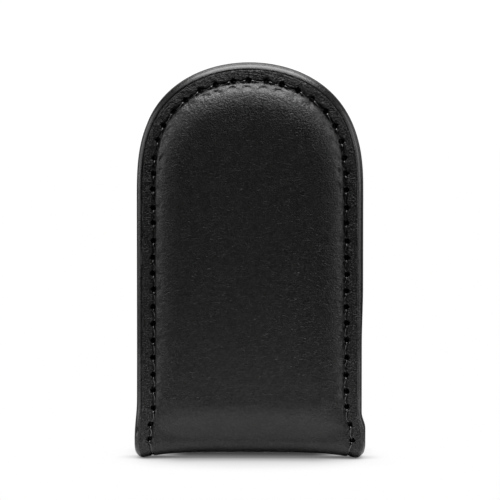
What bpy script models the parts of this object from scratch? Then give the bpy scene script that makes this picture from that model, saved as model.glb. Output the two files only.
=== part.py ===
"""Folding money clip: two padded leather leaves joined by a soft fold, closed by hidden magnets.

The clip stands on its fold. Each leaf is cut as a flat pattern (across, up, outward) and the
lower end of the pattern is then bent round the fold. All driving dimensions are millimetres.
"""

import math

import bmesh
import bpy
from mathutils import Matrix, Vector

MM = 0.001

# outline of one leaf
HALF_WIDTH = 22.25
HEIGHT = 78.1
ARCH_RISE = 26.9
ARCH_POWER = 3.0
ARCH_SEGMENTS = 26
PATTERN_TAIL = -20.0

# layers of one leaf, measured outward from the face of the lining
HALF_GAP = 0.3
LINING = 0.8
LAYER_GAP = 0.2
OUTER = 1.1
EDGE_ROUND = 0.3
STIFFENER = 1.2
PADDING = 1.2
PUFF = 2.8

# puffed face of the outer leather: (inset from the edge, height over the flange)
PUFF_RINGS = ((3.8, 0.15), (4.6, 1.1), (5.6, 2.1), (6.6, 2.65), (7.6, PUFF))
HOLLOW_RINGS = ((4.2, 0.0), (5.44, 1.45), (6.28, 2.3), (6.96, 2.68), (7.7, PUFF))
STIFFENER_INSET = 5.8
PADDING_RINGS = ((6.2, 0.0), (6.9, 0.7), (7.5, PADDING))
INNER_PIECES_FROM = 13.6

# fold
FOLD_HALF_DEPTH = 4.0
FOLD_RADIUS = 2.4
FOLD_INNER_RADIUS = 0.6
FOLD_HALF_GAP = 1.4
FOLD_STACK = 2.6
TAPE = 0.3
TAPE_HALF_WIDTH = 19.0
CORNER_LENGTH = 2.6
BASE_HALF = FOLD_HALF_DEPTH - FOLD_RADIUS
LEAF_FROM = 3.0
FOLD_TO = 2.7
FOLD_MIDDLE = FOLD_RADIUS - CORNER_LENGTH - BASE_HALF
STRAIGHT_FROM = 6.0
GAP_CLOSED_FROM = 14.0
PUFF_FULL_FROM = 14.0
TAPE_FADES = (5.0, 10.0)
BASE_ARCH = 1.1
BASE_ARCH_HALF = 21.0
BASE_ARCH_POWER = 3.5
FLARE = 0.45

# stitching
STITCH_INSET = 3.3
STITCH_PITCH = 3.3
THREAD = 0.4
GROOVE = (2.95, 3.65)
GROOVE_LIP = 0.1
GROOVE_DEPTH = 0.55
LINING_GROOVE_DEPTH = 0.45

# bar magnets let into the stiffener
MAGNET = (22.0, 10.0)
MAGNET_ROUND = 0.8
MAGNET_HEIGHTS = {"upper": 57.0, "lower": 34.0}
WINDOW_CLEARANCE = 0.3

SHARP_ANGLE = math.radians(35.0)
CUTS_ACROSS = (-21.0, -17.0, -12.5, -6.5, 0.0, 6.5, 12.5, 17.0, 21.0)
CUTS_UP = (3.8, 4.8, 6.0, 7.5, 9.0, 10.5, 12.0, 14.0)

SIDES = {"front": -1, "back": 1}

# each leaf swings about a line inside its corner of the fold: (distance from the middle, height)
PIVOT = (3.3, 0.9)

BLACK_LEATHER = ("black_leather", (0.014, 0.013, 0.013), 0.42, 0.0)
LINING_LEATHER = ("lining_leather", (0.02, 0.019, 0.018), 0.6, 0.0)
THREAD_BLACK = ("black_thread", (0.03, 0.03, 0.032), 0.5, 0.0)
FOAM = ("foam", (0.12, 0.12, 0.125), 0.95, 0.0)
FIBREBOARD = ("fibreboard", (0.32, 0.25, 0.18), 0.85, 0.0)
NICKEL = ("nickel_plate", (0.72, 0.70, 0.66), 0.25, 1.0)
TAPE_CLOTH = ("woven_tape", (0.06, 0.06, 0.065), 0.8, 0.0)


def smooth(low, high, value):
    """Zero below low, one above high, and an even curve between."""
    t = min(max((value - low) / (high - low), 0.0), 1.0)
    return t * t * (3.0 - 2.0 * t)


def outline():
    """Edge of the flat pattern, from the lower left corner round the arch to the lower right."""
    dense = []
    for i in range(2001):
        t = 1.0 - (1.0 - i / 2000.0) ** 2
        half = HALF_WIDTH * math.sqrt(max(1.0 - t**ARCH_POWER, 0.0))
        dense.append((half, HEIGHT - ARCH_RISE + ARCH_RISE * t))
    run = [0.0]
    for a, b in zip(dense, dense[1:]):
        run.append(run[-1] + math.dist(a, b))
    steps = ARCH_SEGMENTS // 2
    right = []
    j = 0
    for k in range(steps + 1):
        want = run[-1] * k / steps
        while j < len(run) - 2 and run[j + 1] < want:
            j += 1
        share = (want - run[j]) / (run[j + 1] - run[j])
        right.append(tuple(p + (q - p) * share for p, q in zip(dense[j], dense[j + 1])))
    left = [(-x, s) for x, s in right]
    return [(-HALF_WIDTH, PATTERN_TAIL)] + left + right[-2::-1] + [(HALF_WIDTH, PATTERN_TAIL)]


def inset_line(inset):
    """The arch outline moved inward, as a dense line from the left side to the right side."""
    edge = outline()
    dense = []
    for a, b in zip(edge, edge[1:]):
        count = max(1, round(math.dist(a, b) / 0.5))
        dense += [tuple(p + (q - p) * i / count for p, q in zip(a, b)) for i in range(count)]
    dense.append(edge[-1])
    line = []
    for i in range(1, len(dense) - 1):
        along = (dense[i + 1][0] - dense[i - 1][0], dense[i + 1][1] - dense[i - 1][1])
        length = math.hypot(*along)
        line.append((dense[i][0] + along[1] / length * inset, dense[i][1] - along[0] / length * inset))
    return line


def half_gap(s):
    return HALF_GAP + (FOLD_HALF_GAP - HALF_GAP) * (1.0 - smooth(LEAF_FROM, GAP_CLOSED_FROM, s))


def tape_lift(s):
    """How far the outer leather stands off the lining where the tape lies between them."""
    return (TAPE + LAYER_GAP) * (1.0 - smooth(TAPE_FADES[0], TAPE_FADES[1], s))


def bend(x, s, n, side):
    """Place of a pattern point (across, up, outward from the lining face) on the folded clip."""
    depth = FOLD_STACK - n
    radius = max(FOLD_RADIUS - depth, FOLD_INNER_RADIUS)
    corner = (FOLD_HALF_DEPTH - depth - radius, depth + radius)
    corner_end = FOLD_RADIUS - CORNER_LENGTH
    if s >= STRAIGHT_FROM:
        y, z = half_gap(s) + n, s
    elif s >= FOLD_RADIUS:
        share = (s - FOLD_RADIUS) / (STRAIGHT_FROM - FOLD_RADIUS)
        y, z = half_gap(s) + n, corner[1] + share * (STRAIGHT_FROM - corner[1])
    elif s >= corner_end:
        angle = (FOLD_RADIUS - s) / CORNER_LENGTH * math.pi / 2.0
        y = corner[0] + radius * math.cos(angle)
        z = corner[1] - radius * math.sin(angle)
    else:
        y, z = corner[0] * (s - FOLD_MIDDLE) / (corner_end - FOLD_MIDDLE), depth
    share = min(abs(x) / BASE_ARCH_HALF, 1.0)
    lift = BASE_ARCH * (1.0 - share**BASE_ARCH_POWER)
    lift *= 1.0 - smooth(0.0, 11.0, z)
    flare = FLARE * smooth(-1.0, 3.0, z) * (1.0 - smooth(3.0, 8.0, z))
    return Vector((x * (1.0 + flare / HALF_WIDTH), side * y, z + lift))


def rings(bm, face, steps):
    """Works an end face of the pattern inward along (inset, height) steps."""
    inset = 0.0
    for wanted, height in steps:
        bmesh.ops.inset_region(
            bm,
            faces=[face],
            thickness=wanted - inset,
            depth=0.0,
            use_even_offset=True,
            use_boundary=True,
        )
        for vert in face.verts:
            vert.co.z = height
        inset = wanted


def pattern(thickness, outer_steps, inner_steps, base):
    """Flat leather pattern with its outer and inner faces worked in rings."""
    bm = bmesh.new()
    verts = [bm.verts.new((x, s, base)) for x, s in outline()]
    inner = bm.faces.new(verts)
    made = bmesh.ops.extrude_face_region(bm, geom=[inner])
    top = [v for v in made["geom"] if isinstance(v, bmesh.types.BMVert)]
    bmesh.ops.translate(bm, vec=(0.0, 0.0, thickness), verts=top)
    outer = next(f for f in made["geom"] if isinstance(f, bmesh.types.BMFace))
    bm.faces.ensure_lookup_table()
    inner = next(f for f in bm.faces if len(f.verts) > 4 and f is not outer)
    rings(bm, outer, outer_steps)
    rings(bm, inner, inner_steps)
    bmesh.ops.recalc_face_normals(bm, faces=bm.faces)
    return bm


def cut(bm, place, normal, keep=None):
    """Bisects the pattern; keep is None for both sides, or 'above' for the side the normal points to."""
    whole = bm.verts[:] + bm.edges[:] + bm.faces[:]
    made = bmesh.ops.bisect_plane(
        bm, geom=whole, dist=0.0001, plane_co=place, plane_no=normal, clear_inner=keep == "above"
    )
    if keep:
        rim = [e for e in made["geom_cut"] if isinstance(e, bmesh.types.BMEdge)]
        bmesh.ops.holes_fill(bm, edges=rim)


def cut_across(bm):
    for x in CUTS_ACROSS:
        cut(bm, (x, 0.0, 0.0), (1.0, 0.0, 0.0))


def fold_cuts():
    """Pattern heights where the fold changes direction."""
    corner = [FOLD_RADIUS - CORNER_LENGTH * i / 5.0 for i in range(6)]
    return corner + [FOLD_MIDDLE]


def leaf_pattern(bm):
    """Keeps the leaf's share of a pattern."""
    cut(bm, (0.0, LEAF_FROM, 0.0), (0.0, 1.0, 0.0), "above")
    for s in CUTS_UP:
        cut(bm, (0.0, s, 0.0), (0.0, 1.0, 0.0))
    cut_across(bm)
    return bm


def fold_pattern(bm):
    """Keeps the strip of a pattern between the two leaves."""
    cut(bm, (0.0, FOLD_TO, 0.0), (0.0, -1.0, 0.0), "above")
    cut(bm, (0.0, 2.0 * FOLD_MIDDLE - FOLD_TO, 0.0), (0.0, 1.0, 0.0), "above")
    for s in fold_cuts():
        cut(bm, (0.0, s, 0.0), (0.0, 1.0, 0.0))
        if s > FOLD_MIDDLE:
            cut(bm, (0.0, 2.0 * FOLD_MIDDLE - s, 0.0), (0.0, 1.0, 0.0))
    cut_across(bm)
    return bm


def fold_over(bm, side, lift):
    """Bends a pattern. Past the middle of the fold the strip comes up on the other side."""
    for vert in bm.verts:
        x, s, n = vert.co
        here = side
        if s < FOLD_MIDDLE:
            s = 2.0 * FOLD_MIDDLE - s
            here = -side
        vert.co = bend(x, s, n + (tape_lift(s) if lift else 0.0), here)


def material(spec):
    name, colour, roughness, metallic = spec
    made = bpy.data.materials.get(name)
    if made is None:
        made = bpy.data.materials.new(name)
        made.use_nodes = True
        shader = made.node_tree.nodes["Principled BSDF"]
        shader.inputs["Base Color"].default_value = (*colour, 1.0)
        shader.inputs["Roughness"].default_value = roughness
        shader.inputs["Metallic"].default_value = metallic
        made.diffuse_color = (*colour, 1.0)
    return made


def finish(bm, name, collection, spec):
    """Turns a worked pattern in millimetres into a named object in metres."""
    bmesh.ops.recalc_face_normals(bm, faces=bm.faces)
    if bm.calc_volume(signed=True) < 0.0:
        bmesh.ops.reverse_faces(bm, faces=bm.faces)
    bmesh.ops.scale(bm, vec=(MM, MM, MM), verts=bm.verts)
    mesh = bpy.data.meshes.new(name)
    bm.to_mesh(mesh)
    bm.free()
    mesh.materials.append(material(spec))
    mesh.shade_smooth()
    mesh.set_sharp_from_angle(angle=SHARP_ANGLE)
    obj = bpy.data.objects.new(name, mesh)
    collection.objects.link(obj)
    return obj


def puffed(steps, level):
    return [(inset, level + height) for inset, height in steps]


def outer_leather(side, is_leaf):
    base = LINING + LAYER_GAP
    flange = base + OUTER
    groove = [
        (EDGE_ROUND, flange),
        (GROOVE[0] - GROOVE_LIP, flange),
        (GROOVE[0], flange - GROOVE_DEPTH),
        (GROOVE[1], flange - GROOVE_DEPTH),
    ]
    if is_leaf:
        steps = groove + puffed(PUFF_RINGS, flange)
        bm = leaf_pattern(pattern(OUTER - EDGE_ROUND, steps, puffed(HOLLOW_RINGS, base), base))
        for vert in bm.verts:
            vert.co.z = faded(vert.co, base, flange)
    else:
        steps = groove + [(PUFF_RINGS[0][0], flange)]
        bm = fold_pattern(pattern(OUTER - EDGE_ROUND, steps, [], base))
    fold_over(bm, side, True)
    return bm


def faded(place, base, flange):
    """Height of a pattern point once the puff dies away towards the fold."""
    x, s, n = place
    if s >= PUFF_FULL_FROM:
        return n
    inset = HALF_WIDTH - abs(x)
    between = (profile(PUFF_RINGS, inset, flange) + profile(HOLLOW_RINGS, inset, base)) / 2.0
    level = flange if n > between else base
    if inset < PUFF_RINGS[0][0] - 0.01 or n < level:
        return n
    return level + (n - level) * smooth(LEAF_FROM, PUFF_FULL_FROM, s)


def profile(steps, inset, level):
    last = (0.0, 0.0)
    for step in steps:
        if inset <= step[0]:
            share = (inset - last[0]) / (step[0] - last[0])
            return level + last[1] + (step[1] - last[1]) * share
        last = step
    return level + last[1]


def lining_leather(side, is_leaf):
    steps = [
        (EDGE_ROUND, 0.0),
        (GROOVE[0] - GROOVE_LIP, 0.0),
        (GROOVE[0], LINING_GROOVE_DEPTH),
        (GROOVE[1], LINING_GROOVE_DEPTH),
        (GROOVE[1] + GROOVE_LIP, 0.0),
    ]
    if is_leaf:
        bm = leaf_pattern(pattern(LINING - EDGE_ROUND, [], steps, EDGE_ROUND))
    else:
        bm = fold_pattern(pattern(LINING, [], [], 0.0))
    fold_over(bm, side, False)
    return bm


def stacked(side, outline_inset, rings_up, base, bottom):
    """A plate inside the leaf: the outline moved inward, from a given height upward."""
    line = [p for p in inset_line(outline_inset) if p[1] > bottom]
    corners = [(line[0][0], bottom)] + line[:: max(1, len(line) // 60)] + [(line[-1][0], bottom)]
    bm = bmesh.new()
    face = bm.faces.new([bm.verts.new((x, s, base)) for x, s in corners])
    bmesh.ops.dissolve_limit(bm, angle_limit=math.radians(3.0), verts=bm.verts, edges=bm.edges)
    face = bm.faces[:][0]
    made = bmesh.ops.extrude_face_region(bm, geom=[face])
    top = [v for v in made["geom"] if isinstance(v, bmesh.types.BMVert)]
    bmesh.ops.translate(bm, vec=(0.0, 0.0, rings_up[0]), verts=top)
    outer = next(f for f in made["geom"] if isinstance(f, bmesh.types.BMFace))
    inset = 0.0
    for wanted, height in rings_up[1:]:
        bmesh.ops.inset_region(
            bm, faces=[outer], thickness=wanted - inset, depth=0.0, use_even_offset=True
        )
        for vert in outer.verts:
            vert.co.z = base + height
        inset = wanted
    fold_over(bm, side, False)
    return bm


def magnet(side, height):
    bm = bmesh.new()
    bmesh.ops.create_cube(bm, size=1.0)
    bmesh.ops.scale(bm, vec=(MAGNET[0], MAGNET[1], STIFFENER), verts=bm.verts)
    upright = [e for e in bm.edges if abs(e.verts[0].co.z - e.verts[1].co.z) > 0.1]
    bmesh.ops.bevel(
        bm, geom=upright, offset=MAGNET_ROUND, segments=3, affect="EDGES", profile=0.5
    )
    middle = LINING + LAYER_GAP + STIFFENER / 2.0
    bmesh.ops.translate(bm, vec=(0.0, height, middle), verts=bm.verts)
    fold_over(bm, side, False)
    return bm


def window(side, height, name, helpers):
    """Cutter for the opening that a magnet sits in."""
    bm = bmesh.new()
    bmesh.ops.create_cube(bm, size=1.0)
    wide = MAGNET[0] + 2.0 * WINDOW_CLEARANCE
    tall = MAGNET[1] + 2.0 * WINDOW_CLEARANCE
    bmesh.ops.scale(bm, vec=(wide, tall, 4.0 * STIFFENER), verts=bm.verts)
    bmesh.ops.translate(bm, vec=(0.0, height, LINING + STIFFENER), verts=bm.verts)
    fold_over(bm, side, False)
    cutter = finish(bm, name, helpers, FIBREBOARD)
    cutter.hide_render = True
    cutter.display_type = "WIRE"
    return cutter


def stitch_points(outer_face):
    """Pattern points of one run of stitches, dipping at each hole and rising between holes."""
    line = inset_line(STITCH_INSET)
    run = [0.0]
    for a, b in zip(line, line[1:]):
        run.append(run[-1] + math.dist(a, b))
    middle = run[-1] / 2.0
    face = LINING + LAYER_GAP + OUTER if outer_face else 0.0
    inward = -1.0 if outer_face else 1.0
    count = int(middle / (STITCH_PITCH / 2.0))
    points = []
    for k in range(-count, count + 1):
        want = middle + k * STITCH_PITCH / 2.0
        j = next(i for i in range(len(run) - 1) if run[i + 1] >= want)
        share = (want - run[j]) / (run[j + 1] - run[j])
        x, s = (p + (q - p) * share for p, q in zip(line[j], line[j + 1]))
        dip = 0.15 if k % 2 else 0.03
        points.append((x, s, face + inward * dip))
    return points


def tube(name, points, collection):
    """One sewn thread through the given places, with closed ends."""
    curve = bpy.data.curves.new(name, "CURVE")
    curve.dimensions = "3D"
    curve.bevel_depth = THREAD / 2.0 * MM
    curve.bevel_resolution = 1
    curve.use_fill_caps = True
    spline = curve.splines.new("POLY")
    spline.points.add(len(points) - 1)
    for point, place in zip(spline.points, points):
        point.co = (*(place * MM), 1.0)
    curve.materials.append(material(THREAD_BLACK))
    obj = bpy.data.objects.new(name, curve)
    collection.objects.link(obj)
    return obj


def leaf_thread(name, side, outer_face, collection):
    places = [
        bend(x, s, n + (tape_lift(s) if outer_face else 0.0), side)
        for x, s, n in stitch_points(outer_face)
        if s > LEAF_FROM + 0.3
    ]
    return tube(name, places, collection)


def fold_thread(name, across, collection):
    """The seam carried round the outside of the fold, in the same groove."""
    face = LINING + LAYER_GAP + OUTER + TAPE + LAYER_GAP
    steps = 14
    half = FOLD_TO - 0.15 - FOLD_MIDDLE
    places = []
    for i in range(-steps, steps + 1):
        s = FOLD_MIDDLE + abs(i) / steps * half
        dip = 0.3 if i % 2 else 0.24
        places.append(bend(across, s, face - dip, -1 if i < 0 else 1))
    return tube(name, places, collection)


def fold_tape(collection):
    bm = fold_pattern(pattern(TAPE, [], [], LINING + LAYER_GAP))
    bmesh.ops.scale(bm, vec=(TAPE_HALF_WIDTH / HALF_WIDTH, 1.0, 1.0), verts=bm.verts)
    fold_over(bm, -1, False)
    return finish(bm, "fold_reinforcement", collection, TAPE_CLOTH)


def pivot(word, side, collection):
    """Empty on the line that a leaf swings about."""
    empty = bpy.data.objects.new(f"{word}_leaf_pivot", None)
    empty.location = (0.0, side * PIVOT[0] * MM, PIVOT[1] * MM)
    empty.empty_display_size = 0.01
    collection.objects.link(empty)
    return empty


def leaf(word, side, collection, helpers):
    """The eight pieces of one leaf, hung from its pivot."""
    board_base = LINING + LAYER_GAP
    pad_base = board_base + STIFFENER + LAYER_GAP
    pad_rings = [0.0001] + [(i - PADDING_RINGS[0][0], h) for i, h in PADDING_RINGS[1:]]
    board = stacked(side, STIFFENER_INSET, [STIFFENER], board_base, INNER_PIECES_FROM)
    board = finish(board, f"{word}_stiffener", collection, FIBREBOARD)
    pad = stacked(side, PADDING_RINGS[0][0], pad_rings, pad_base, INNER_PIECES_FROM)
    pieces = [
        finish(outer_leather(side, True), f"{word}_outer_leather", collection, BLACK_LEATHER),
        finish(lining_leather(side, True), f"{word}_lining_leather", collection, LINING_LEATHER),
        finish(pad, f"{word}_padding", collection, FOAM),
        leaf_thread(f"{word}_top_thread", side, True, collection),
        leaf_thread(f"{word}_bobbin_thread", side, False, collection),
        board,
    ]
    for place, height in MAGNET_HEIGHTS.items():
        pieces.append(finish(magnet(side, height), f"{word}_magnet_{place}", collection, NICKEL))
        opening = board.modifiers.new(f"window_{place}", "BOOLEAN")
        opening.operation = "DIFFERENCE"
        opening.solver = "EXACT"
        opening.object = window(side, height, f"{word}_window_{place}", helpers)
    hung_from = pivot(word, side, collection)
    for piece in pieces:
        piece.parent = hung_from
        piece.matrix_parent_inverse = Matrix.Translation(-hung_from.location)


def fold(collection):
    """The pieces of the fold, which joins the leaves."""
    finish(outer_leather(-1, False), "fold_outer_leather", collection, BLACK_LEATHER)
    finish(lining_leather(-1, False), "fold_lining_leather", collection, LINING_LEATHER)
    fold_tape(collection)
    seam = HALF_WIDTH - STITCH_INSET
    fold_thread("fold_thread_left", -seam, collection)
    fold_thread("fold_thread_right", seam, collection)


def build():
    for obj in list(bpy.data.objects):
        bpy.data.objects.remove(obj)
    collection = bpy.data.collections.new("money_clip")
    bpy.context.scene.collection.children.link(collection)
    helpers = bpy.data.collections.new("helpers")
    bpy.context.scene.collection.children.link(helpers)
    fold(collection)
    for word, side in SIDES.items():
        leaf(word, side, collection, helpers)


build()
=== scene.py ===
"""Leather money clip: sewn, edge-rounded straps over foam, with lining, inner pieces and a studio.

Each leather piece is worked as a flat pattern (across, up, outward) in millimetres, then bent
round the fold.
"""

import math
import random

import bmesh
import bpy
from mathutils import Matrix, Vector, noise
from mathutils.kdtree import KDTree


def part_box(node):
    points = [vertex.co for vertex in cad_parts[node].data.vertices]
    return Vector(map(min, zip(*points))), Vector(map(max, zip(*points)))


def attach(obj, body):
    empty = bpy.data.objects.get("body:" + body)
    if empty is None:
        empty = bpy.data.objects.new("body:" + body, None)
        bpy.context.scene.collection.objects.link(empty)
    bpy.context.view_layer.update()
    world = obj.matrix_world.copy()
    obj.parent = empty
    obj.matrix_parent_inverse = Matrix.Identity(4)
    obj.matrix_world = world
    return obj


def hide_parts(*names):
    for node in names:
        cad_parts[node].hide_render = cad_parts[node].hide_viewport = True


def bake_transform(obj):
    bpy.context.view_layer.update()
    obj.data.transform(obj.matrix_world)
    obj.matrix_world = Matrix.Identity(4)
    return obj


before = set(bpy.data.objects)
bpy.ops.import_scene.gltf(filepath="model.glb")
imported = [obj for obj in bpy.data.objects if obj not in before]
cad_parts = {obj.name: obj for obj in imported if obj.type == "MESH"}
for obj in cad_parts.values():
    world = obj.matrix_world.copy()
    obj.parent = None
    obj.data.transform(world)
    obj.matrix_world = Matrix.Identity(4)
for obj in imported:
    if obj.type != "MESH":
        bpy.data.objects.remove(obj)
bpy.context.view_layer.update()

bl_info = {
    "name": "Leather Money Clip",
    "version": (1, 0, 0),
    "blender": (4, 5, 0),
    "location": "View3D > Sidebar > Money Clip",
    "description": "Makes a folding leather money clip with sewn seams, and a small studio for it",
    "category": "Add Mesh",
}

LEAF_LOW, LEAF_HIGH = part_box("front_outer_leather")
LEAVES = {"front": -1, "back": 1}

# layers, in millimetres outward from the face of the lining
LINING_TOP = 0.86
OUTER_BACK = 0.9
FLANGE = 2.1
OUTER_EDGE = FLANGE - 1.08
LINING_EDGE = 0.55
LINING_ROUND = 0.6
FOAM_BASE = 2.4
PUFF = 3.05
PUFF_FROM = 3.45
PUFF_SLOPE = 8.2
BELLY = 0.72

# how the strap bends, in millimetres
HALF_GAP = 0.3
FOLD_HALF_GAP = 1.4
FOLD_HALF_DEPTH = 4.0
FOLD_RADIUS = 2.4
FOLD_INNER_RADIUS = 0.6
FOLD_STACK = 2.6
CORNER_LENGTH = 2.6
CORNER_END = FOLD_RADIUS - CORNER_LENGTH
FOLD_MIDDLE = CORNER_END - (FOLD_HALF_DEPTH - FOLD_RADIUS)
STRAIGHT_FROM = 6.0
LEAF_FROM = 3.0
PUFF_FULL_FROM = 14.0
FOAM_FROM = 13.6
TAPE_LIFT = 0.5
TAPE_EDGE = (18.8, 20.8)
PATTERN_TAIL = -9.0
FLARE = 0.45
MORE_FLARE_RIGHT = 0.28
BASE_ARCH_HALF = 21.0
BASE_ARCH_FADES_BY = 11.0
BACK_ARCH_SHARE = 0.5
BACK_LEAF_RISE = 0.2
BACK_LEAF_SHIFT = 0.24

# the arched end: heights on the pattern where its looks set in
ARCH_FROM, ARCH_FULL = 48.0, 66.0

# distances from a hole's middle where the mesh has a column, and the widest step between columns
OUTER_COLUMNS = ((-0.6, -0.46, -0.34, -0.22, -0.1, 0.0, 0.1, 0.22, 0.34, 0.46, 0.6), 0.42)
LINING_COLUMNS = ((-0.46, -0.3, -0.15, 0.0, 0.15, 0.3, 0.46), 0.6)
FOAM_COLUMNS = ((0.0,), 1.2)

# distances in from the edge where a piece has a ring of vertices; a pair adds the height there
EDGE_RINGS = (0.03, 0.1, 0.2, 0.34, 0.5, 0.66, 0.82, 0.95, 1.02, 1.09, 1.17, 1.26, 1.5)
SEAM_RINGS = (2.68, 2.8, 2.9, 3.0, 3.1, 3.2, 3.3, 3.4, 3.5, 3.6, 3.7, 3.8, 3.92)
PUFF_RINGS = (4.04, 4.16, 4.28, 4.4, 4.52, 4.64, 4.8, 5.0)
PUFF_RINGS += (5.25, 5.5, 5.85, 6.2, 6.7, 7.2, 7.8, 8.5)
LAST_TRUE_RING = 8.4
OUTER_RINGS = EDGE_RINGS + (1.8, 2.1, 2.4) + SEAM_RINGS + PUFF_RINGS
HOLLOW_RINGS = ((4.2, 0.0), (5.44, 1.4), (6.28, 2.2), (6.96, 2.58), (7.7, 2.7))
LINING_RINGS = (0.04, 0.12, 0.24, 0.4, 0.6, 1.2, 2.0) + SEAM_RINGS + (4.1, 4.5, 5.5)
FOAM_OUTLINE = 6.2
FOAM_RINGS = ((6.3, 0.12), (6.45, 0.4), (6.7, 0.75), (7.0, 0.98))
FOAM_RINGS += ((7.4, 1.1), (8.2, 1.16), (9.6, 1.2))

# a stitch from the hole it leaves to the hole it enters: (distance, rise, slant), the last four
# counted back from the second hole
STITCH_OUT = (
    (0.4, -0.8, 0.02),
    (0.48, -0.36, 0.02),
    (0.62, -0.06, 0.0),
    (0.82, 0.16, 0.02),
    (1.04, 0.2, 0.08),
    (1.3, 0.04, 0.18),
)
STITCH_IN = ((1.2, -0.12, 0.27), (0.75, -0.18, 0.18), (0.5, -0.34, 0.04), (0.42, -0.8, 0.0))
THREAD_SIDES = 8


class ClipSizes(bpy.types.PropertyGroup):
    """Sizes of the clip that a maker would choose."""

    half_width: bpy.props.FloatProperty(
        name="Half width",
        description="Half the width of a leaf between its straight edges",
        default=(LEAF_HIGH.x - LEAF_LOW.x) / 2 - FLARE / 1000,
        unit="LENGTH",
        subtype="DISTANCE",
    )
    height: bpy.props.FloatProperty(
        name="Height",
        description="Height of the closed clip",
        default=LEAF_HIGH.z,
        unit="LENGTH",
        subtype="DISTANCE",
    )
    arch_rise: bpy.props.FloatProperty(
        name="Arch rise",
        description="Height of the arched end over the straight edges",
        default=0.0269,
        unit="LENGTH",
        subtype="DISTANCE",
    )
    edge_round: bpy.props.FloatProperty(
        name="Edge rounding",
        description="Width of the rounded and painted edge",
        default=0.00096,
        unit="LENGTH",
        subtype="DISTANCE",
    )
    seam_inset: bpy.props.FloatProperty(
        name="Seam inset",
        description="Distance of the seam from the edge",
        default=0.0033,
        unit="LENGTH",
        subtype="DISTANCE",
    )
    stitch_pitch: bpy.props.FloatProperty(
        name="Stitch pitch",
        description="Distance from one needle hole to the next",
        default=0.0033,
        unit="LENGTH",
        subtype="DISTANCE",
    )
    hole_radius: bpy.props.FloatProperty(
        name="Needle hole radius",
        description="Radius of a needle hole at the leather's face",
        default=0.0005,
        unit="LENGTH",
        subtype="DISTANCE",
    )
    thread: bpy.props.FloatProperty(
        name="Thread diameter",
        description="Diameter of the waxed sewing thread",
        default=0.00032,
        unit="LENGTH",
        subtype="DISTANCE",
    )
    base_arch: bpy.props.FloatProperty(
        name="Base arch",
        description="How far the fold's middle stands off the table",
        default=0.0013,
        unit="LENGTH",
        subtype="DISTANCE",
    )


class ClipColours(bpy.types.PropertyGroup):
    """Colours and gloss of the clip's materials."""

    leather: bpy.props.FloatVectorProperty(
        name="Leather",
        description="Colour of the outer leather",
        default=(0.0075, 0.0073, 0.0072),
        size=3,
        subtype="COLOR",
        min=0,
        max=1,
    )
    lining: bpy.props.FloatVectorProperty(
        name="Lining",
        description="Colour of the lining leather",
        default=(0.014, 0.0135, 0.013),
        size=3,
        subtype="COLOR",
        min=0,
        max=1,
    )
    thread: bpy.props.FloatVectorProperty(
        name="Thread",
        description="Colour of the waxed thread",
        default=(0.0035, 0.0035, 0.0038),
        size=3,
        subtype="COLOR",
        min=0,
        max=1,
    )
    leather_roughness: bpy.props.FloatProperty(
        name="Leather roughness",
        description="Roughness of the smooth leather between its pores",
        default=0.36,
        min=0,
        max=1,
        subtype="FACTOR",
    )


def smooth(low, high, value):
    """Zero below low, one above high, and an even curve between."""
    t = min(max((value - low) / (high - low), 0.0), 1.0)
    return t * t * (3.0 - 2.0 * t)


def bell(value, width):
    """One at zero, falling evenly on both sides."""
    return math.exp(-((value / width) ** 2))


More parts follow.
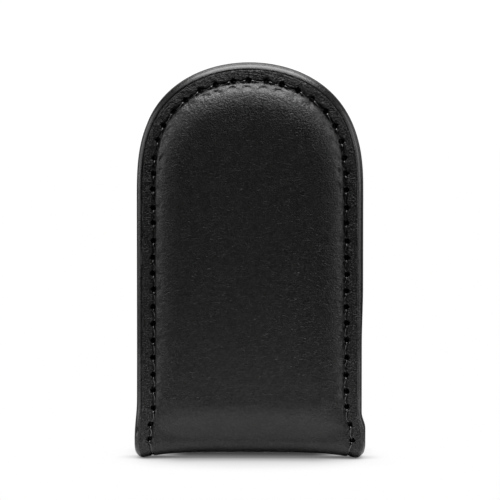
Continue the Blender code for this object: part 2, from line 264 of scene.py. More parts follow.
class Pattern:
    """The leaf's flat outline with its seam line and needle holes, in millimetres."""

    def __init__(self, sizes):
        self.half = sizes.half_width * 1000
        self.height = sizes.height * 1000
        self.rise = sizes.arch_rise * 1000
        self.edge = sizes.edge_round * 1000
        self.inset = sizes.seam_inset * 1000
        self.pitch = sizes.stitch_pitch * 1000
        self.hole = sizes.hole_radius * 1000
        self.thread = sizes.thread * 1000
        self.base_arch = sizes.base_arch * 1000
        self.trace_edge()
        self.punch_holes()

    def trace_edge(self):
        """Edge points, inward normals and the distance along the seam, left to right."""
        right = []
        count = 1200
        for i in range(count):
            t = 1.0 - (1.0 - i / count) ** 2
            half = self.half * math.sqrt(1.0 - t**3)
            right.append((half, self.height - self.rise + self.rise * t))
        side = []
        s = PATTERN_TAIL
        while s < self.height - self.rise - 0.05:
            side.append((self.half, s))
            s += 0.1
        right = side + right
        edge = [(-x, s) for x, s in right] + [(0.0, self.height)] + right[::-1]
        self.points = edge
        self.normals = []
        for i in range(len(edge)):
            a, b = edge[max(i - 1, 0)], edge[min(i + 1, len(edge) - 1)]
            length = math.dist(a, b)
            self.normals.append(((b[1] - a[1]) / length, (a[0] - b[0]) / length))
        seam = [self.moved_in(i, self.inset) for i in range(len(edge))]
        run = [0.0]
        for a, b in zip(seam, seam[1:]):
            run.append(run[-1] + math.dist(a, b))
        middle = run[len(edge) // 2]
        self.run = [r - middle for r in run]

    def moved_in(self, i, inset):
        """An edge point moved straight in from the edge."""
        (x, s), (nx, ns) = self.points[i], self.normals[i]
        return (x + nx * inset, s + ns * inset)

    def at(self, along, inset=0.0):
        """The point a given distance along the seam line and in from the edge."""
        low, high = 0, len(self.run) - 1
        while high - low > 1:
            middle = (low + high) // 2
            if self.run[middle] <= along:
                low = middle
            else:
                high = middle
        share = (along - self.run[low]) / max(self.run[high] - self.run[low], 1e-9)
        a, b = self.moved_in(low, inset), self.moved_in(high, inset)
        return (a[0] + (b[0] - a[0]) * share, a[1] + (b[1] - a[1]) * share)

    def flat_area(self):
        """Area in square metres of the cut piece above the middle of the fold."""
        kept = [point for point in self.points if point[1] >= FOLD_MIDDLE]
        around = zip(kept, kept[1:] + kept[:1])
        return abs(sum(a[0] * b[1] - b[0] * a[1] for a, b in around)) / 2e6

    def punch_holes(self):
        """Needle holes along the seam with the small unevenness of hand-guided sewing."""
        rng = random.Random(11)
        reach = int((self.run[-1] - 0.5) / self.pitch)
        self.holes = []
        for k in range(-reach, reach + 1):
            along = k * self.pitch + rng.uniform(-0.22, 0.22)
            across = rng.uniform(-0.1, 0.1)
            height = self.at(along, self.inset)[1]
            across -= 0.22 * smooth(0.0, 12.0, k)
            across -= (0.5 if k > 0 else 0.25) * (1.0 - smooth(6.6, 8.0, height))
            self.holes.append((along, across, rng.random()))

    def columns(self, close, apart):
        """Distances along the seam for the mesh: close together at the holes and wider between."""
        marks = []
        for along, _, _ in self.holes:
            marks += [along + d for d in close]
        low, high = self.run[0] + 0.01, self.run[-1] - 0.01
        marks = sorted([low, high] + [m for m in marks if low < m < high])
        found = [marks[0]]
        for mark in marks[1:]:
            gap = mark - found[-1]
            if gap < 0.05:
                continue
            count = max(1, math.ceil(gap / apart))
            found += [found[-1] + gap * i / count for i in range(1, count)] + [mark]
        return found

    def nearest_hole(self, along):
        """Stitch number here, distance along from the closest hole, seam's offset, that hole."""
        low, high = 0, len(self.holes) - 1
        while high - low > 1:
            middle = (low + high) // 2
            if self.holes[middle][0] <= along:
                low = middle
            else:
                high = middle
        a, b = self.holes[low][0], self.holes[high][0]
        index = low + (along - a) / max(b - a, 1e-9)
        share = min(max(index - low, 0.0), 1.0)
        across = self.holes[low][1] * (1 - share) + self.holes[high][1] * share
        nearest = low if index - low < 0.5 else high
        return index, along - self.holes[nearest][0], across, self.holes[nearest]


def half_gap(s):
    """Distance of a leaf's lining face from the middle plane; the leaves close upward."""
    return HALF_GAP + (FOLD_HALF_GAP - HALF_GAP) * (1.0 - smooth(LEAF_FROM, PUFF_FULL_FROM, s))


def tape_lift(s):
    """Thickness that the reinforcing tape adds under the leather in and above the fold."""
    return TAPE_LIFT * (1.0 - smooth(5.0, 10.0, s))


def belly(s):
    """Extra fullness of the outer leather where the leaf leaves the fold."""
    return BELLY * smooth(5.0, 9.5, s) * (1.0 - smooth(10.5, 22.0, s))


def bend(pattern, x, s, n, side):
    """Place of a pattern point (across, up, outward from the lining face) on the folded clip."""
    depth = FOLD_STACK - n
    radius = max(FOLD_RADIUS - depth, FOLD_INNER_RADIUS)
    corner = (FOLD_HALF_DEPTH - depth - radius, depth + radius)
    if s >= STRAIGHT_FROM:
        y, z = half_gap(s) + n, s
    elif s >= FOLD_RADIUS:
        share = (s - FOLD_RADIUS) / (STRAIGHT_FROM - FOLD_RADIUS)
        y, z = half_gap(s) + n, corner[1] + share * (STRAIGHT_FROM - corner[1])
    elif s >= CORNER_END:
        angle = (FOLD_RADIUS - s) / CORNER_LENGTH * math.pi / 2.0
        y = corner[0] + radius * math.cos(angle)
        z = corner[1] - radius * math.sin(angle)
    else:
        y, z = corner[0] * (s - FOLD_MIDDLE) / (CORNER_END - FOLD_MIDDLE), depth
    lift = pattern.base_arch * (1.0 - min(abs(x) / BASE_ARCH_HALF, 1.0) ** 3.5)
    lift *= 1.0 - smooth(0.0, BASE_ARCH_FADES_BY, z)
    if side > 0:
        lift *= 1.0 - (1.0 - BACK_ARCH_SHARE) * smooth(0.0, 2.0, y)
        z += BACK_LEAF_RISE * smooth(40.0, ARCH_FULL, s)
    if x > 0:
        flare = (FLARE + MORE_FLARE_RIGHT) * (1.0 - smooth(5.5, 8.6, z))
    else:
        flare = FLARE * (1.0 - smooth(4.0, 11.5, z))
    x *= 1.0 + flare * smooth(-1.0, 3.0, z) / pattern.half
    if side > 0:
        x += BACK_LEAF_SHIFT * smooth(22.0, 34.0, s) * (1.0 - smooth(56.0, 70.0, s))
    return Vector((x, side * y, z + lift))


def flat_sheet(pattern, columns, level, thickness, inset=0.0):
    """A flat slab of the leaf's outline, with layers that remember the place on the pattern."""
    bm = bmesh.new()
    layers = {key: bm.verts.layers.float.new(key) for key in ("inset", "along", "skin")}
    made = bmesh.ops.create_circle(bm, cap_ends=True, radius=pattern.half, segments=len(columns))
    verts = made["verts"]
    for vert, along in zip(verts, columns):
        vert.co = (*pattern.at(along, inset), level)
        vert[layers["along"]] = along
        vert[layers["inset"]] = inset
    made = bmesh.ops.extrude_face_region(bm, geom=bm.faces[:])
    top = [v for v in made["geom"] if isinstance(v, bmesh.types.BMVert)]
    bmesh.ops.translate(bm, vec=(0.0, 0.0, thickness), verts=top)
    face = next(f for f in made["geom"] if isinstance(f, bmesh.types.BMFace))
    by_place = {(round(v.co.x, 4), round(v.co.y, 4)): v[layers["along"]] for v in verts}
    for vert in face.verts:
        vert[layers["along"]] = by_place[round(vert.co.x, 4), round(vert.co.y, 4)]
        vert[layers["inset"]] = inset
        vert[layers["skin"]] = 1.0
    back = next(f for f in bm.faces if len(f.verts) > 4 and f is not face)
    return bm, layers, face, back


def work_rings(bm, pattern, layers, face, steps, skin):
    """Steps a face inward ring by ring; each step is (inset from the edge, height)."""
    for inset, height in steps:
        along = [v[layers["along"]] for v in face.verts]
        bmesh.ops.inset_region(bm, faces=[face], thickness=0.01, use_boundary=True)
        for vert, place in zip(face.verts, along):
            vert[layers["along"]] = place
            vert[layers["inset"]] = inset
            vert[layers["skin"]] = skin
            vert.co = (*pattern.at(place, inset), height)
    return face


def steps_to(low, high, step):
    """Even steps from low to high, each as near as can be to step."""
    count = max(1, round((high - low) / step))
    return [low + (high - low) * i / count for i in range(count + 1)]


def panel_cuts(bm, face):
    """Gives the broad middle of a sheet enough faces to bend with the fold and to be crowned."""
    up = steps_to(FOLD_MIDDLE + 0.01, STRAIGHT_FROM, 0.35)
    up += steps_to(6.8, 16.0, 0.9) + steps_to(18.0, 70.0, 3.0)
    faces = [face]
    for axis, places in ((1, up), (0, steps_to(-18.0, 18.0, 1.8))):
        for place in places:
            spot = [0.0, 0.0, 0.0]
            spot[axis] = place
            crossed = []
            for piece in faces:
                side = [vert.co[axis] - place for vert in piece.verts]
                if min(side) < -0.001 and max(side) > 0.001:
                    crossed.append(piece)
            if not crossed:
                continue
            geom = {item for f in crossed for item in (f, *f.edges, *f.verts)}
            made = bmesh.ops.bisect_plane(
                bm, geom=list(geom), dist=0.001, plane_co=spot, plane_no=(1.0 - axis, axis, 0.0)
            )
            rest = set(faces) - set(crossed)
            faces = list(rest) + [g for g in made["geom"] if isinstance(g, bmesh.types.BMFace)]


def cut_below(bm, level):
    """Ends a flat piece at a height on the pattern and closes the cut."""
    made = bmesh.ops.bisect_plane(
        bm,
        geom=bm.verts[:] + bm.edges[:] + bm.faces[:],
        dist=0.0001,
        plane_co=(0.0, level, 0.0),
        plane_no=(0.0, 1.0, 0.0),
        clear_inner=True,
    )
    rim = [e for e in made["geom_cut"] if isinstance(e, bmesh.types.BMEdge)]
    bmesh.ops.holes_fill(bm, edges=rim)


def true_inset(tree, vert, layers):
    """Distance from the edge, measured anew where cuts added vertices inside the last ring."""
    inset = vert[layers["inset"]]
    if inset < LAST_TRUE_RING:
        return inset
    return tree.find((vert.co.x, vert.co.y, 0.0))[2]


def edge_tree(pattern):
    """Search tree over the pattern's edge points."""
    tree = KDTree(len(pattern.points))
    for i, (x, s) in enumerate(pattern.points):
        tree.insert((x, s, 0.0), i)
    tree.balance()
    return tree


def puff_height(inset):
    """Rise of the padded middle over the flat border."""
    t = min(max((inset - PUFF_FROM) / PUFF_SLOPE, 0.0), 1.0)
    return PUFF * (1.0 - (1.0 - t) ** 3.0) * smooth(3.35, 3.9, inset)


def border_height(pattern, x, s, inset, arch):
    """Height of the flat border: rounded edge, crease beside it, and droop towards the edge."""
    level = FLANGE
    if inset < pattern.edge:
        share = 1.0 - inset / pattern.edge
        level -= 0.6 * share + 0.48 * share**4
    crease = 0.035 + 0.1 * smooth(50.0, 57.0, s) * (1.0 - 0.25 * smooth(71.0, 76.0, s))
    level -= crease * bell(inset - pattern.edge - 0.12, 0.1)
    level -= (0.1 + 0.34 * arch) * (1.0 - smooth(pattern.edge - 0.4, 3.2, inset))
    if x > 0:
        level -= 0.05 * bell(inset - pattern.edge - 0.75, 0.09) * smooth(30.0, 44.0, s)
    return level


def seam_dents(pattern, near, seam, off_hole, arch):
    """Depth of the channel that the stitches lie in and of the needle hole."""
    distance = math.hypot(near * 0.95, off_hole + 0.06)
    rim = smooth(pattern.hole * 0.7, pattern.hole * 1.12, distance)
    return (0.19 - 0.05 * arch) * bell(seam - 0.1, 0.27) + 0.08 * bell(distance, 0.8) + 1.0 - rim


def puckers(pattern, near, seam, chance, along, inset):
    """Height of the dimples, swells and fanned wrinkles that the seam draws into the padding."""
    shift = near + 0.7 * (chance - 0.5)
    curl = seam - 1.1 - 0.2 * (shift / 0.8) ** 2 - 0.25 * (chance - 0.5)
    level = -(0.14 + 0.19 * chance) * bell(shift, 0.9) * bell(curl, 0.34)
    level += 0.1 * bell(abs(near) - pattern.pitch / 2, 0.6) * bell(seam - 1.1, 0.6)
    fan = noise.noise(Vector((along * 1.5, inset * 0.6, 5.0)))
    return level + 0.1 * fan * smooth(0.3, 0.8, seam) * (1.0 - smooth(1.4, 3.4, seam))


def unevenness(pattern, x, s, inset, along, arch):
    """Height of the soft lumps of the leather, stronger on the border and round the arch."""
    level = noise.noise(Vector((x * 0.45, s * 0.45, 0.0)))
    level *= 0.035 * (1.0 - 0.5 * smooth(4.0, 8.0, inset))
    pull = noise.noise(Vector((along * 1.1, inset * 0.55, 3.0)))
    lump = noise.noise(Vector((x * 1.5, s * 1.5, 7.0)))
    border = smooth(pattern.edge, 1.6, inset) * (1.0 - smooth(3.0, 4.6, inset))
    return level + (0.035 + 0.085 * arch) * border * (pull + 0.7 * lump)


def outer_face_height(pattern, x, s, inset, along):
    """Height of the outer leather's face over the lining face."""
    arch = smooth(ARCH_FROM, ARCH_FULL, s)
    corner = 1.0 - smooth(4.0, 11.0, inset)
    fade = smooth(LEAF_FROM + corner, PUFF_FULL_FROM - 2.5 + 1.5 * corner, s)
    level = border_height(pattern, x, s, inset, arch)
    level += belly(s) * (1.0 - fade * smooth(3.4, 8.0, inset))
    level += puff_height(inset) * fade
    _, near, across, hole = pattern.nearest_hole(along)
    seam = inset - pattern.inset - across
    level -= seam_dents(pattern, near, seam, inset - pattern.inset - hole[1], arch)
    drawn_in = (0.3 + 0.7 * arch) * fade
    level += drawn_in * puckers(pattern, near, seam, hole[2], along, inset)
    if inset > pattern.edge:
        level += unevenness(pattern, x, s, inset, along, arch)
    if x < 0:
        slit = smooth(4.9, 5.4, s) * (1.0 - smooth(6.3, 6.8, s))
        level -= 0.35 * bell(inset - 0.55, 0.14) * slit
    return level


def lining_face_height(pattern, inset, along):
    """Height of the lining's open face; it is the underside, so dents are positive."""
    level = 0.0
    if inset < LINING_ROUND:
        share = 1.0 - inset / LINING_ROUND
        level += LINING_EDGE * (1.0 - math.sqrt(max(1.0 - share * share, 0.0)))
    _, near, across, hole = pattern.nearest_hole(along)
    seam = inset - pattern.inset - across
    distance = math.hypot(near, inset - pattern.inset - hole[1])
    level += 0.2 * bell(seam, 0.3) + 0.08 * bell(distance, 0.9)
    level += 0.45 * (1.0 - smooth(pattern.hole * 0.5, pattern.hole, distance))
    return level


def fold_piece(bm, pattern, side, beside_tape=False):
    """Bends a flat piece round the fold; with beside_tape it's lifted at the tape's sides only."""
    for vert in bm.verts:
        x, s, n = vert.co
        lifted = smooth(*TAPE_EDGE, abs(x)) if beside_tape else 1.0
        vert.co = bend(pattern, x, s, n + tape_lift(s) * lifted, side)


def seam_attribute(bm, pattern, layers):
    """(stitch number, millimetres from the edge, skin) of each vertex, for the material."""
    values = []
    for vert in bm.verts:
        index, _, across, _ = pattern.nearest_hole(vert[layers["along"]])
        values += [index, vert[layers["inset"]] - across, vert[layers["skin"]]]
    return values


def make_object(bm, name, material, values=None, key="seam"):
    """Turns a worked mesh in millimetres into a shown piece in metres."""
    bmesh.ops.recalc_face_normals(bm, faces=bm.faces)
    if bm.calc_volume(signed=True) < 0.0:
        bmesh.ops.reverse_faces(bm, faces=bm.faces)
    bmesh.ops.scale(bm, vec=(0.001, 0.001, 0.001), verts=bm.verts)
    mesh = bpy.data.meshes.new(name)
    bm.to_mesh(mesh)
    bm.free()
    for leftover in ("inset", "along", "skin"):
        if leftover in mesh.attributes:
            mesh.attributes.remove(mesh.attributes[leftover])
    if values:
        attribute = mesh.attributes.new(key, "FLOAT_VECTOR", "POINT")
        attribute.data.foreach_set("vector", values)
    mesh.shade_smooth()
    mesh.materials.append(material)
    obj = bpy.data.objects.new(name, mesh)
    bpy.context.scene.collection.objects.link(obj)
    return obj


def turn_with_leaf(obj):
    """Bakes the piece's placing into its mesh."""
    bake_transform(obj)


def declare_cut(pattern):
    """Works out the area of the cut piece above the middle of the fold, and keeps nothing."""
    pattern.flat_area()


def make_outer_leather(pattern, word, side, material):
    """Half of the outer strap: flat border, padded middle, and a hollow for the foam behind it."""
    columns = pattern.columns(*OUTER_COLUMNS)
    bm, layers, face, back = flat_sheet(pattern, columns, OUTER_BACK, OUTER_EDGE - OUTER_BACK)
    face = work_rings(bm, pattern, layers, face, [(ring, FLANGE) for ring in OUTER_RINGS], 1.0)
    panel_cuts(bm, face)
    hollow = [(inset, OUTER_BACK + rise) for inset, rise in HOLLOW_RINGS]
    work_rings(bm, pattern, layers, back, hollow, 0.0)
    cut_below(bm, FOLD_MIDDLE)
    tree = edge_tree(pattern)
    for vert in bm.verts:
        x, s, n = vert.co
        if vert[layers["skin"]] > 0.5:
            inset = true_inset(tree, vert, layers)
            vert.co.z = outer_face_height(pattern, x, s, inset, vert[layers["along"]])
        else:
            fade = smooth(LEAF_FROM, PUFF_FULL_FROM, s)
            vert.co.z = OUTER_BACK + (n - OUTER_BACK) * fade
    values = seam_attribute(bm, pattern, layers)
    fold_piece(bm, pattern, side)
    obj = make_object(bm, f"outer_strap_{word}", material, values)
    turn_with_leaf(obj)
    declare_cut(pattern)
    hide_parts(f"{word}_outer_leather", "fold_outer_leather")


def make_lining(pattern, word, side, material):
    """Half of the lining: thin leather with the lower thread's channel in its open face."""
    columns = pattern.columns(*LINING_COLUMNS)
    outline = 0.06
    thickness = LINING_TOP - LINING_EDGE
    bm, layers, _, back = flat_sheet(pattern, columns, LINING_EDGE, thickness, outline)
    rings = [(ring + outline, 0.0) for ring in LINING_RINGS]
    back = work_rings(bm, pattern, layers, back, rings, 1.0)
    panel_cuts(bm, back)
    cut_below(bm, FOLD_MIDDLE)
    for vert in bm.verts:
        if vert[layers["skin"]] > 0.5 and vert.co.z < 0.5:
            place = vert[layers["inset"]], vert[layers["along"]]
            vert.co.z = lining_face_height(pattern, *place)
    values = seam_attribute(bm, pattern, layers)
    fold_piece(bm, pattern, side, beside_tape=True)
    obj = make_object(bm, f"lining_{word}", material, values)
    turn_with_leaf(obj)
    declare_cut(pattern)
    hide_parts(f"{word}_lining_leather", "fold_lining_leather")


def add_stitch(bm, layers, path, radius, start):
    """One stitch as a tube along its path, in pattern space; gives the thread used so far."""
    made = bmesh.ops.create_circle(bm, cap_ends=True, radius=radius, segments=THREAD_SIDES)
    ring = made["verts"]
    run = start
    for i, point in enumerate(path):
        along = (path[min(i + 1, len(path) - 1)] - path[max(i - 1, 0)]).normalized()
        across = along.cross(Vector((0.0, 0.0, 1.0))).normalized()
        up = across.cross(along)
        if i:
            run += (point - path[i - 1]).length
            cap = {f for v in ring for f in v.link_faces if all(w in ring for w in f.verts)}
            made = bmesh.ops.extrude_face_region(bm, geom=list(cap))
            bmesh.ops.delete(bm, geom=list(cap), context="FACES_ONLY")
            ring = [v for v in made["geom"] if isinstance(v, bmesh.types.BMVert)]
            ring.sort(key=lambda v: v[layers["turn"]])
        shrink = 0.55 if i in (0, len(path) - 1) else 1.0
        for k, vert in enumerate(ring):
            angle = 2.0 * math.pi * k / THREAD_SIDES
            spread = (across * math.cos(angle) + up * math.sin(angle)) * radius * shrink
            vert.co = point + spread
            vert[layers["turn"]] = float(k)
            vert[layers["run"]] = run
    return run


def stitch_path(pattern, a, b, level, outward):
    """Rises out of hole a, lies in the channel with a slight slant, and sinks into hole b."""
    length = b[0] - a[0]
    shape = list(STITCH_OUT)
    shape += [(length - back, rise, slant) for back, rise, slant in STITCH_IN]
    if b[0] < 0.0:
        shape = [(length - along, rise, slant) for along, rise, slant in shape[::-1]]
    path = []
    for along, rise, slant in shape:
        across = a[1] + (b[1] - a[1]) * along / length + slant
        x, s = pattern.at(a[0] + along, pattern.inset + across)
        rise *= 0.5 + 0.5 * smooth(5.0, 9.0, s)
        rise += belly(s) if outward > 0 else 0.0
        path.append(Vector((x, s, level + outward * rise)))
    return path


def make_seam(pattern, word, side, material, outer):
    """All the stitches of one leaf on one face of the strap."""
    bm = bmesh.new()
    layers = {key: bm.verts.layers.float.new(key) for key in ("turn", "run")}
    level = FLANGE - 0.07 if outer else 0.12
    lowest = FOLD_MIDDLE + (0.2 if outer else 5.5)
    hidden = 0.13
    run = 0.0
    for a, b in zip(pattern.holes, pattern.holes[1:]):
        if min(pattern.at(hole[0], pattern.inset)[1] for hole in (a, b)) < lowest:
            continue
        path = stitch_path(pattern, a, b, level, 1.0 if outer else -1.0)
        run = add_stitch(bm, layers, path, pattern.thread / 2.0, run + hidden)
    values = []
    for vert in bm.verts:
        angle = vert[layers["turn"]] / THREAD_SIDES * 2.0 * math.pi
        values += [math.cos(angle), math.sin(angle), vert[layers["run"]]]
    fold_piece(bm, pattern, side, beside_tape=not outer)
    name = f"{'top' if outer else 'bobbin'}_seam_{word}"
    obj = make_object(bm, name, material, values, "ply")
    turn_with_leaf(obj)
    nodes = [f"{word}_top_thread" if outer else f"{word}_bobbin_thread"]
    if outer:
        nodes.append("fold_thread_left" if side < 0 else "fold_thread_right")
    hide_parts(*nodes)


def make_foam(pattern, word, side, material):
    """Sheet foam cut to the padded middle, with pressed-down edges."""
    columns = pattern.columns(*FOAM_COLUMNS)
    bm, layers, face, _ = flat_sheet(pattern, columns, FOAM_BASE, 0.02, FOAM_OUTLINE)
    rings = [(ring, FOAM_BASE + rise) for ring, rise in FOAM_RINGS]
    work_rings(bm, pattern, layers, face, rings, 1.0)
    cut_below(bm, FOAM_FROM)
    fold_piece(bm, pattern, side)
    obj = make_object(bm, f"foam_{word}", material)
    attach(obj, f"{word}_leaf")
    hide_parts(f"{word}_padding")


class Finish:
    """A node material under construction, with Object coordinates in millimetres."""

    def __init__(self, name, colour, roughness, metallic=0.0):
        self.material = bpy.data.materials.new(name)
        self.material.use_nodes = True
        self.nodes = self.material.node_tree.nodes
        self.links = self.material.node_tree.links
        self.shader = self.nodes["Principled BSDF"]
        self.set("Base Color", (*colour, 1.0))
        self.set("Roughness", roughness)
        self.set("Metallic", metallic)
        self.material.diffuse_color = (*colour, 1.0)
        place = self.nodes.new("ShaderNodeTexCoord")
        self.place = self.mapping(place.outputs["Object"], (1000.0, 1000.0, 1000.0))

    def set(self, socket, value):
        """Gives one of the shader's sockets a plain value."""
        self.shader.inputs[socket].default_value = value

    def mapping(self, source, scale):
        node = self.nodes.new("ShaderNodeMapping")
        node.inputs["Scale"].default_value = scale
        self.links.new(source, node.inputs["Vector"])
        return node.outputs["Vector"]

    def noise(self, scale, detail=3.0, roughness=0.5, source=None):
        node = self.nodes.new("ShaderNodeTexNoise")
        node.inputs["Scale"].default_value = scale
        node.inputs["Detail"].default_value = detail
        node.inputs["Roughness"].default_value = roughness
        self.links.new(source or self.place, node.inputs["Vector"])
        return node.outputs["Fac"]

    def cells(self, scale):
        """Distance to the edge of irregular cells, a scale of them to the millimetre."""
        node = self.nodes.new("ShaderNodeTexVoronoi")
        node.feature = "DISTANCE_TO_EDGE"
        node.inputs["Scale"].default_value = scale
        self.links.new(self.place, node.inputs["Vector"])
        return node.outputs["Distance"]

    def split(self, vector):
        """The three numbers of a vector."""
        node = self.nodes.new("ShaderNodeSeparateXYZ")
        self.links.new(vector, node.inputs[0])
        return node.outputs

    def attribute(self, name):
        """The three numbers of a vector attribute of the mesh."""
        node = self.nodes.new("ShaderNodeAttribute")
        node.attribute_name = name
        return self.split(node.outputs["Vector"])

    def math(self, operation, a, b=None, c=None):
        node = self.nodes.new("ShaderNodeMath")
        node.operation = operation
        for socket, value in zip(node.inputs, (a, b, c)):
            if value is None:
                continue
            if isinstance(value, (int, float)):
                socket.default_value = value
            else:
                self.links.new(value, socket)
        return node.outputs[0]

    def spread(self, value, low, high, out_low, out_high):
        """Eases a value from one range into another."""
        node = self.nodes.new("ShaderNodeMapRange")
        node.interpolation_type = "SMOOTHSTEP"
        self.links.new(value, node.inputs["Value"])
        for socket, number in zip(node.inputs[1:5], (low, high, out_low, out_high)):
            socket.default_value = number
        return node.outputs["Result"]

    def blend_colours(self, factor, first, second):
        node = self.nodes.new("ShaderNodeMix")
        node.data_type = "RGBA"
        self.links.new(factor, node.inputs[0])
        for socket, value in ((node.inputs[6], first), (node.inputs[7], second)):
            if isinstance(value, tuple):
                socket.default_value = (*value, 1.0)
            else:
                self.links.new(value, socket)
        return node.outputs[2]

    def colour(self, source):
        self.links.new(source, self.shader.inputs["Base Color"])

    def roughness(self, source):
        self.links.new(source, self.shader.inputs["Roughness"])

    def bump(self, height, distance):
        """Adds a relief of a given depth in millimetres over those already there."""
        node = self.nodes.new("ShaderNodeBump")
        node.inputs["Strength"].default_value = 1.0
        node.inputs["Distance"].default_value = distance / 1000.0
        self.links.new(height, node.inputs["Height"])
        if self.shader.inputs["Normal"].is_linked:
            before = self.shader.inputs["Normal"].links[0].from_socket
            self.links.new(before, node.inputs["Normal"])
        self.links.new(node.outputs["Normal"], self.shader.inputs["Normal"])


def leather_finish(name, colour, roughness, grain=1.0, gloss=0.0):
    """Smooth black calf: fine pores, soft waves, faint scuffs and a glossier painted edge."""
    finish = Finish(name, colour, roughness)
    finish.set("Specular IOR Level", 0.5)
    finish.set("Coat Weight", gloss)
    finish.set("Coat Roughness", 0.32)
    seam = finish.attribute("seam")
    on_edge = finish.spread(seam[1], 0.9, 1.25, 1.0, 0.0)
    mottle = finish.noise(0.35, 5.0, 0.6)
    lighter = tuple(min(1.0, c * 1.7 + 0.001) for c in colour)
    patches = finish.blend_colours(finish.spread(mottle, 0.35, 0.7, 0.0, 1.0), colour, lighter)
    speck = finish.spread(finish.noise(2.1, 2.0, 0.6), 0.36, 0.68, 0.0, 1.0)
    darker = tuple(c * 0.25 for c in colour)
    paler = tuple(min(1.0, c * 2.6) for c in colour)
    grainy = finish.blend_colours(speck, darker, paler)
    even = finish.spread(seam[1], 0.9, 1.2, 0.2, 0.8)
    finish.colour(finish.blend_colours(even, patches, grainy))
    streak = finish.noise(0.9, 4.0, 0.65)
    value = finish.spread(streak, 0.3, 0.75, roughness - 0.05, roughness + 0.08)
    value = finish.math("SUBTRACT", value, finish.math("MULTIPLY", on_edge, 0.07))
    finish.roughness(value)
    border = finish.spread(seam[1], 2.9, 3.7, 1.0, 0.0)
    border = finish.math("MULTIPLY", border, 0.55)
    plain = finish.math("ADD", 1.0, border)
    plain = finish.math("SUBTRACT", plain, finish.math("MULTIPLY", on_edge, 1.4))
    waves = finish.noise(0.22, 2.0, 0.4)
    finish.bump(waves, 0.05)
    pores = finish.spread(finish.cells(2.3), 0.0, 0.14, 0.0, 1.0)
    finish.bump(finish.math("MULTIPLY", pores, plain), 0.034 * grain)
    fine = finish.noise(2.4, 2.0, 0.55)
    finish.bump(finish.math("MULTIPLY", fine, plain), 0.125 * grain)
    return finish.material


def thread_finish(name, colour):
    """Waxed black thread with its plies laid round it."""
    finish = Finish(name, colour, 0.3)
    finish.set("Specular IOR Level", 0.2)
    finish.set("Coat Weight", 1.0)
    finish.set("Coat Roughness", 0.2)
    finish.set("Coat IOR", 1.8)
    ply = finish.attribute("ply")
    angle = finish.math("ARCTAN2", ply[1], ply[0])
    plies, twist = 3.0, 14.0
    turned = finish.math("MULTIPLY", ply[2], twist)
    lay = finish.math("ADD", finish.math("MULTIPLY", angle, plies), turned)
    wave = finish.math("SINE", lay)
    finish.bump(finish.spread(wave, -1.0, 1.0, 0.0, 1.0), 0.035)
    fuzz = finish.noise(18.0, 2.0)
    finish.bump(fuzz, 0.006)
    finish.roughness(finish.spread(wave, -1.0, 1.0, 0.45, 0.26))
    # Painted highlight and shade: the ply crests are painted lighter and the grooves between the
    # plies darker.
    lighter = tuple(c * 2.2 for c in colour)
    painted_ply_shade = finish.spread(wave, -0.6, 1.0, 0.0, 1.0)
    finish.colour(finish.blend_colours(painted_ply_shade, colour, lighter))
    return finish.material


def foam_finish():
    """Grey sheet foam with open cells."""
    finish = Finish("sheet_foam", (0.12, 0.12, 0.125), 0.95)
    cells = finish.cells(2.6)
    finish.bump(finish.spread(cells, 0.0, 0.25, 0.0, 1.0), 0.12)
    # Painted shade: the sunken cell edges are painted darker than the raised cells.
    painted_cell_shade = finish.spread(cells, 0.0, 0.3, 1.0, 0.0)
    finish.colour(finish.blend_colours(painted_cell_shade, (0.15, 0.15, 0.155), (0.06, 0.06, 0.062)))
    return finish.material


def board_finish():
    """Brown bonded fibreboard with its fibres lying across."""
    finish = Finish("bonded_board", (0.32, 0.25, 0.18), 0.85)
    fibre = finish.noise(1.0, 6.0, 0.7, finish.mapping(finish.place, (0.6, 2.4, 2.4)))
    finish.colour(finish.blend_colours(fibre, (0.22, 0.165, 0.11), (0.42, 0.34, 0.25)))
    finish.bump(finish.noise(3.5, 5.0, 0.7), 0.05)
    return finish.material


def magnet_finish():
    """Nickel plate with a little haze."""
    finish = Finish("nickel_plate", (0.72, 0.70, 0.66), 0.25, 1.0)
    haze = finish.noise(0.8, 5.0, 0.6)
    finish.roughness(finish.spread(haze, 0.3, 0.7, 0.18, 0.38))
    finish.bump(finish.noise(6.0, 4.0, 0.6), 0.004)
    finish.colour(finish.blend_colours(haze, (0.66, 0.64, 0.60), (0.78, 0.76, 0.72)))
    return finish.material


def tape_finish():
    """Black woven tape."""
    finish = Finish("woven_tape", (0.06, 0.06, 0.065), 0.8)
    x, _, z = finish.split(finish.place)
    threads = 16.0
    warp = finish.math("SINE", finish.math("MULTIPLY", x, threads))
    weft = finish.math("SINE", finish.math("MULTIPLY", z, threads))
    weave = finish.spread(finish.math("MULTIPLY", warp, weft), -1.0, 1.0, 0.0, 1.0)
    finish.bump(weave, 0.05)
    # Painted shade: the low places of the weave are painted darker and the raised crossings
    # lighter.
    finish.colour(finish.blend_colours(weave, (0.04, 0.04, 0.044), (0.09, 0.09, 0.095)))
    return finish.material


def clip_pattern(context):
    """The pattern at the sizes set in the panel."""
    return Pattern(context.scene.money_clip_sizes)


class MONEYCLIP_OT_outer_leather(bpy.types.Operator):
    """Make the two halves of the outer strap, padded, edge-rounded and pierced for the seam"""

    bl_idname = "money_clip.outer_leather"
    bl_label = "Outer leather"

    def execute(self, context):
        colours = context.scene.money_clip_colours
        colour, roughness = tuple(colours.leather), colours.leather_roughness
        material = leather_finish("black_calf", colour, roughness, gloss=0.15)
        for word, side in LEAVES.items():
            make_outer_leather(clip_pattern(context), word, side, material)
        return {"FINISHED"}


class MONEYCLIP_OT_lining(bpy.types.Operator):
    """Make the two halves of the lining leather"""

    bl_idname = "money_clip.lining"
    bl_label = "Lining"

    def execute(self, context):
        colours = context.scene.money_clip_colours
        material = leather_finish("lining_leather", tuple(colours.lining), 0.5, grain=1.6)
        for word, side in LEAVES.items():
            make_lining(clip_pattern(context), word, side, material)
        return {"FINISHED"}


